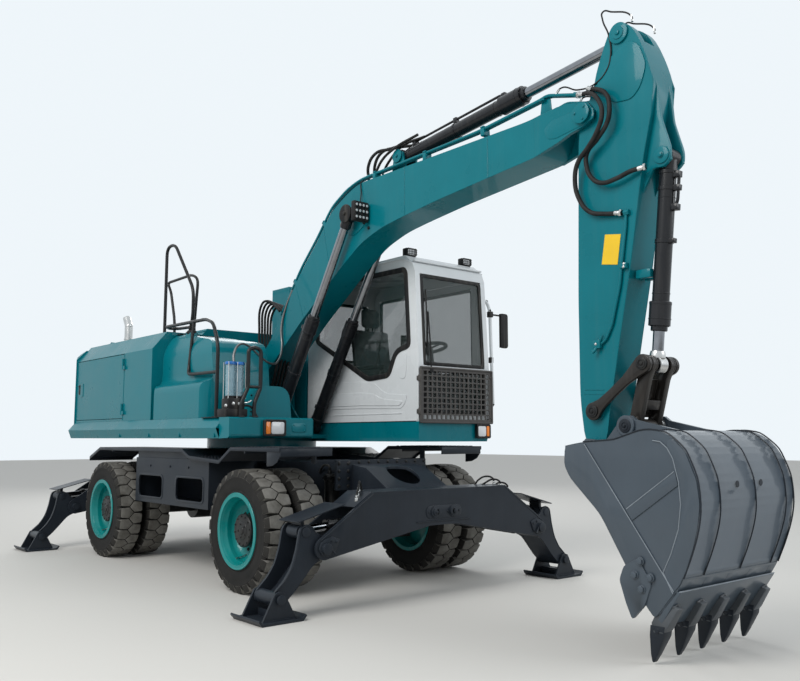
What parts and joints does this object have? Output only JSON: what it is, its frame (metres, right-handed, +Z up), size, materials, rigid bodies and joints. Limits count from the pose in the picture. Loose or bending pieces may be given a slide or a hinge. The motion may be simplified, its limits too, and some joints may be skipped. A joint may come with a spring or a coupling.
{
  "type": "wheeled excavator",
  "caption": "Four-wheel excavator on twin tyres with stabiliser legs at both ends, a slewing upper body with cab, and a boom, arm and toothed digging bucket worked by cylinders.",
  "frame": {"origin": "on the ground under the slewing centre", "axes": "+X forward along the boom, +Y to the cab side, +Z up"},
  "size_m": [8.3005, 3.562, 4.1827],
  "materials": {
    "body_paint": "gloss teal paint",
    "chassis_paint": "satin charcoal paint",
    "black_paint": "satin black paint",
    "bucket_paint": "satin blue-grey paint",
    "cab_paint": "gloss off-white paint",
    "guard_paint": "grey-brown paint",
    "link_paint": "dark brown-black paint",
    "rim_paint": "gloss turquoise paint",
    "engine_metal": "rough casting",
    "bright_steel": "bright",
    "rod_chrome": "polished",
    "tyre_rubber": "worn rubber",
    "cab_glass": "tinted glass",
    "seat_cloth": "grey cloth",
    "clear_plastic": "clear jars",
    "black_plastic": "matt"
  },
  "bodies": {
    "chassis": {"chassis_frame": "chassis_paint", "axles": "black_paint", "driveshafts": "black_paint", "stabiliser_beams": "chassis_paint", "side_guards": "chassis_paint"},
    "knuckle_right": {"knuckle_right": "black_paint"},
    "knuckle_left": {"knuckle_left": "black_paint"},
    "wheel_front_right": {"tyres_front_right": "tyre_rubber", "rims_front_right": "rim_paint"},
    "wheel_front_left": {"tyres_front_left": "tyre_rubber", "rims_front_left": "rim_paint"},
    "wheel_rear_right": {"tyres_rear_right": "tyre_rubber", "rims_rear_right": "rim_paint"},
    "wheel_rear_left": {"tyres_rear_left": "tyre_rubber", "rims_rear_left": "rim_paint"},
    "leg_front_right": {"leg_front_right": "chassis_paint"},
    "pad_front_right": {"pad_front_right": "chassis_paint"},
    "leg_rod_front_right": {"leg_rod_front_right": "rod_chrome"},
    "leg_front_left": {"leg_front_left": "chassis_paint"},
    "pad_front_left": {"pad_front_left": "chassis_paint"},
    "leg_rod_front_left": {"leg_rod_front_left": "rod_chrome"},
    "leg_rear_right": {"leg_rear_right": "chassis_paint"},
    "pad_rear_right": {"pad_rear_right": "chassis_paint"},
    "leg_rod_rear_right": {"leg_rod_rear_right": "rod_chrome"},
    "leg_rear_left": {"leg_rear_left": "chassis_paint"},
    "pad_rear_left": {"pad_rear_left": "chassis_paint"},
    "leg_rod_rear_left": {"leg_rod_rear_left": "rod_chrome"},
    "upper": {"deck_frame": "body_paint", "counterweight": "body_paint", "engine_hood": "body_paint", "engine_block": "engine_metal", "side_boxes": "body_paint", "cab_shell": "cab_paint", "cab_glass": "cab_glass", "cab_guard": "guard_paint", "operator_seat": "seat_cloth", "handrails": "black_paint", "exhaust": "bright_steel", "grease_pump": "clear_plastic", "lamps_and_mirrors": "black_plastic"},
    "hood_door": {"hood_door": "body_paint"},
    "cab_door": {"cab_door": "cab_paint"},
    "arm": {"arm": "body_paint"},
    "arm_cylinder_barrel": {"arm_cylinder_barrel": "black_paint"},
    "arm_cylinder_rod": {"arm_cylinder_rod": "rod_chrome"},
    "rocker_links": {"rocker_links": "link_paint"},
    "bucket_link": {"bucket_link": "link_paint"},
    "bucket_cylinder_barrel": {"bucket_cylinder_barrel": "black_paint"},
    "bucket_cylinder_rod": {"bucket_cylinder_rod": "rod_chrome"},
    "bucket": {"bucket": "bucket_paint"},
    "boom_cylinder_barrels": {"boom_cylinder_barrels": "black_paint"},
    "boom_cylinder_rods": {"boom_cylinder_rods": "rod_chrome"},
    "boom": {"boom": "body_paint"}
  },
  "joints": [
    {"name": "swing", "type": "hinge", "parent": "chassis", "child": "upper", "pos_m": [0, 0, 1.2], "axis": [0, 0, 1], "continuous": true},
    {"name": "steer_left", "type": "hinge", "parent": "chassis", "child": "knuckle_left", "pos_m": [1.679, 0.62, 0.52], "axis": [0, 0, 1], "range_deg": [-25, 25]},
    {"name": "steer_right", "type": "hinge", "parent": "chassis", "child": "knuckle_right", "pos_m": [1.679, -0.62, 0.52], "axis": [0, 0, 1], "range_deg": [-25, 25]},
    {"name": "wheel_spin_front_right", "type": "hinge", "parent": "knuckle_right", "child": "wheel_front_right", "pos_m": [1.679, -0.62, 0.52], "axis": [0, 1, 0], "continuous": true},
    {"name": "wheel_spin_front_left", "type": "hinge", "parent": "knuckle_left", "child": "wheel_front_left", "pos_m": [1.679, 0.62, 0.52], "axis": [0, 1, 0], "continuous": true},
    {"name": "wheel_spin_rear_right", "type": "hinge", "parent": "chassis", "child": "wheel_rear_right", "pos_m": [-1.325, -0.62, 0.52], "axis": [0, 1, 0], "continuous": true},
    {"name": "wheel_spin_rear_left", "type": "hinge", "parent": "chassis", "child": "wheel_rear_left", "pos_m": [-1.325, 0.62, 0.52], "axis": [0, 1, 0], "continuous": true},
    {"name": "leg_fold_front_right", "type": "hinge", "parent": "chassis", "child": "leg_front_right", "pos_m": [2.749, -1.205, 0.488], "axis": [-1, 0, 0], "range_deg": [-10, 75]},
    {"name": "pad_tilt_front_right", "type": "hinge", "parent": "leg_front_right", "child": "pad_front_right", "pos_m": [2.749, -1.581, 0.16], "axis": [-1, 0, 0], "range_deg": [-45, 6]},
    {"name": "leg_rod_tilt_front_right", "type": "hinge", "parent": "leg_front_right", "child": "leg_rod_front_right", "pos_m": [2.749, -1.349, 0.613], "axis": [-1, 0, 0], "range_deg": [-75, 10]},
    {"name": "leg_fold_front_left", "type": "hinge", "parent": "chassis", "child": "leg_front_left", "pos_m": [2.749, 1.205, 0.488], "axis": [1, 0, 0], "range_deg": [-10, 75]},
    {"name": "pad_tilt_front_left", "type": "hinge", "parent": "leg_front_left", "child": "pad_front_left", "pos_m": [2.749, 1.581, 0.16], "axis": [1, 0, 0], "range_deg": [-45, 6]},
    {"name": "leg_rod_tilt_front_left", "type": "hinge", "parent": "leg_front_left", "child": "leg_rod_front_left", "pos_m": [2.749, 1.349, 0.613], "axis": [1, 0, 0], "range_deg": [-75, 10]},
    {"name": "leg_fold_rear_right", "type": "hinge", "parent": "chassis", "child": "leg_rear_right", "pos_m": [-2.42, -1.205, 0.488], "axis": [-1, 0, 0], "range_deg": [-10, 75]},
    {"name": "pad_tilt_rear_right", "type": "hinge", "parent": "leg_rear_right", "child": "pad_rear_right", "pos_m": [-2.42, -1.581, 0.16], "axis": [-1, 0, 0], "range_deg": [-45, 6]},
    {"name": "leg_rod_tilt_rear_right", "type": "hinge", "parent": "leg_rear_right", "child": "leg_rod_rear_right", "pos_m": [-2.42, -1.349, 0.613], "axis": [-1, 0, 0], "range_deg": [-75, 10]},
    {"name": "leg_fold_rear_left", "type": "hinge", "parent": "chassis", "child": "leg_rear_left", "pos_m": [-2.42, 1.205, 0.488], "axis": [1, 0, 0], "range_deg": [-10, 75]},
    {"name": "pad_tilt_rear_left", "type": "hinge", "parent": "leg_rear_left", "child": "pad_rear_left", "pos_m": [-2.42, 1.581, 0.16], "axis": [1, 0, 0], "range_deg": [-45, 6]},
    {"name": "leg_rod_tilt_rear_left", "type": "hinge", "parent": "leg_rear_left", "child": "leg_rod_rear_left", "pos_m": [-2.42, 1.349, 0.613], "axis": [1, 0, 0], "range_deg": [-75, 10]},
    {"name": "hood_door_hinge", "type": "hinge", "parent": "upper", "child": "hood_door", "pos_m": [-1.03, -1.184, 1.9], "axis": [0, 0, 1], "range_deg": [0, 100]},
    {"name": "cab_door_hinge", "type": "hinge", "parent": "upper", "child": "cab_door", "pos_m": [1.16, 1.279, 2.2], "axis": [0, 0, 1], "range_deg": [0, 150]},
    {"name": "boom_lift", "type": "hinge", "parent": "upper", "child": "boom", "pos_m": [0.08, 0, 1.71], "axis": [0, -1, 0], "range_deg": [-45, 35]},
    {"name": "boom_cylinder_tilt", "type": "hinge", "parent": "upper", "child": "boom_cylinder_barrels", "pos_m": [0.66, 0, 1.42], "axis": [0, -1, 0], "range_deg": [-48, 37]},
    {"name": "boom_cylinder_slide", "type": "slide", "parent": "boom_cylinder_barrels", "child": "boom_cylinder_rods", "axis": [0.5302, 0, 0.8479], "range_m": [-0.455, 0.355]},
    {"name": "arm_swing", "type": "hinge", "parent": "boom", "child": "arm", "pos_m": [4.57, 0, 3.6], "axis": [0, -1, 0], "range_deg": [-35, 65]},
    {"name": "arm_cylinder_tilt", "type": "hinge", "parent": "boom", "child": "arm_cylinder_barrel", "pos_m": [2.42, 0, 3.86], "axis": [0, -1, 0], "range_deg": [-3.5, 6]},
    {"name": "arm_cylinder_slide", "type": "slide", "parent": "arm_cylinder_barrel", "child": "arm_cylinder_rod", "axis": [0.995, 0, 0.0997], "range_m": [-0.57, 0.31]},
    {"name": "bucket_curl", "type": "hinge", "parent": "arm", "child": "bucket", "pos_m": [4.58, 0, 1.22], "axis": [0, 1, 0], "range_deg": [-28, 105]},
    {"name": "rocker_swing", "type": "hinge", "parent": "arm", "child": "rocker_links", "pos_m": [4.593, 0, 1.485], "axis": [0, 1, 0], "range_deg": [-22, 81]},
    {"name": "link_swing", "type": "hinge", "parent": "rocker_links", "child": "bucket_link", "pos_m": [4.995, 0, 1.787], "axis": [0, 1, 0], "range_deg": [-50, 14]},
    {"name": "bucket_cylinder_tilt", "type": "hinge", "parent": "arm", "child": "bucket_cylinder_barrel", "pos_m": [5.14, 0, 3.169], "axis": [0, 1, 0], "range_deg": [-4.5, 1.5]},
    {"name": "bucket_cylinder_slide", "type": "slide", "parent": "bucket_cylinder_barrel", "child": "bucket_cylinder_rod", "axis": [-0.1043, 0, -0.9945], "range_m": [-0.16, 0.59]}
  ],
  "couplings": [
    {"joint": "steer_right", "follows": "steer_left", "ratio": 1},
    {"joint": "boom_cylinder_tilt", "follows": "boom_lift", "ratio": 1.048},
    {"joint": "boom_cylinder_slide", "follows": "boom_lift", "m_per_rad": 0.5735},
    {"joint": "arm_cylinder_tilt", "follows": "arm_swing", "ratio": 0.09},
    {"joint": "arm_cylinder_slide", "follows": "arm_swing", "m_per_rad": -0.5},
    {"joint": "rocker_swing", "follows": "bucket_curl", "ratio": 0.764},
    {"joint": "link_swing", "follows": "bucket_curl", "ratio": -0.471},
    {"joint": "bucket_cylinder_tilt", "follows": "bucket_curl", "ratio": -0.038},
    {"joint": "bucket_cylinder_slide", "follows": "bucket_curl", "m_per_rad": 0.317},
    {"joint": "pad_tilt_front_right", "follows": "leg_fold_front_right", "ratio": -0.6},
    {"joint": "leg_rod_tilt_front_right", "follows": "leg_fold_front_right", "ratio": -1},
    {"joint": "pad_tilt_front_left", "follows": "leg_fold_front_left", "ratio": -0.6},
    {"joint": "leg_rod_tilt_front_left", "follows": "leg_fold_front_left", "ratio": -1},
    {"joint": "pad_tilt_rear_right", "follows": "leg_fold_rear_right", "ratio": -0.6},
    {"joint": "leg_rod_tilt_rear_right", "follows": "leg_fold_rear_right", "ratio": -1},
    {"joint": "pad_tilt_rear_left", "follows": "leg_fold_rear_left", "ratio": -0.6},
    {"joint": "leg_rod_tilt_rear_left", "follows": "leg_fold_rear_left", "ratio": -1}
  ]
}
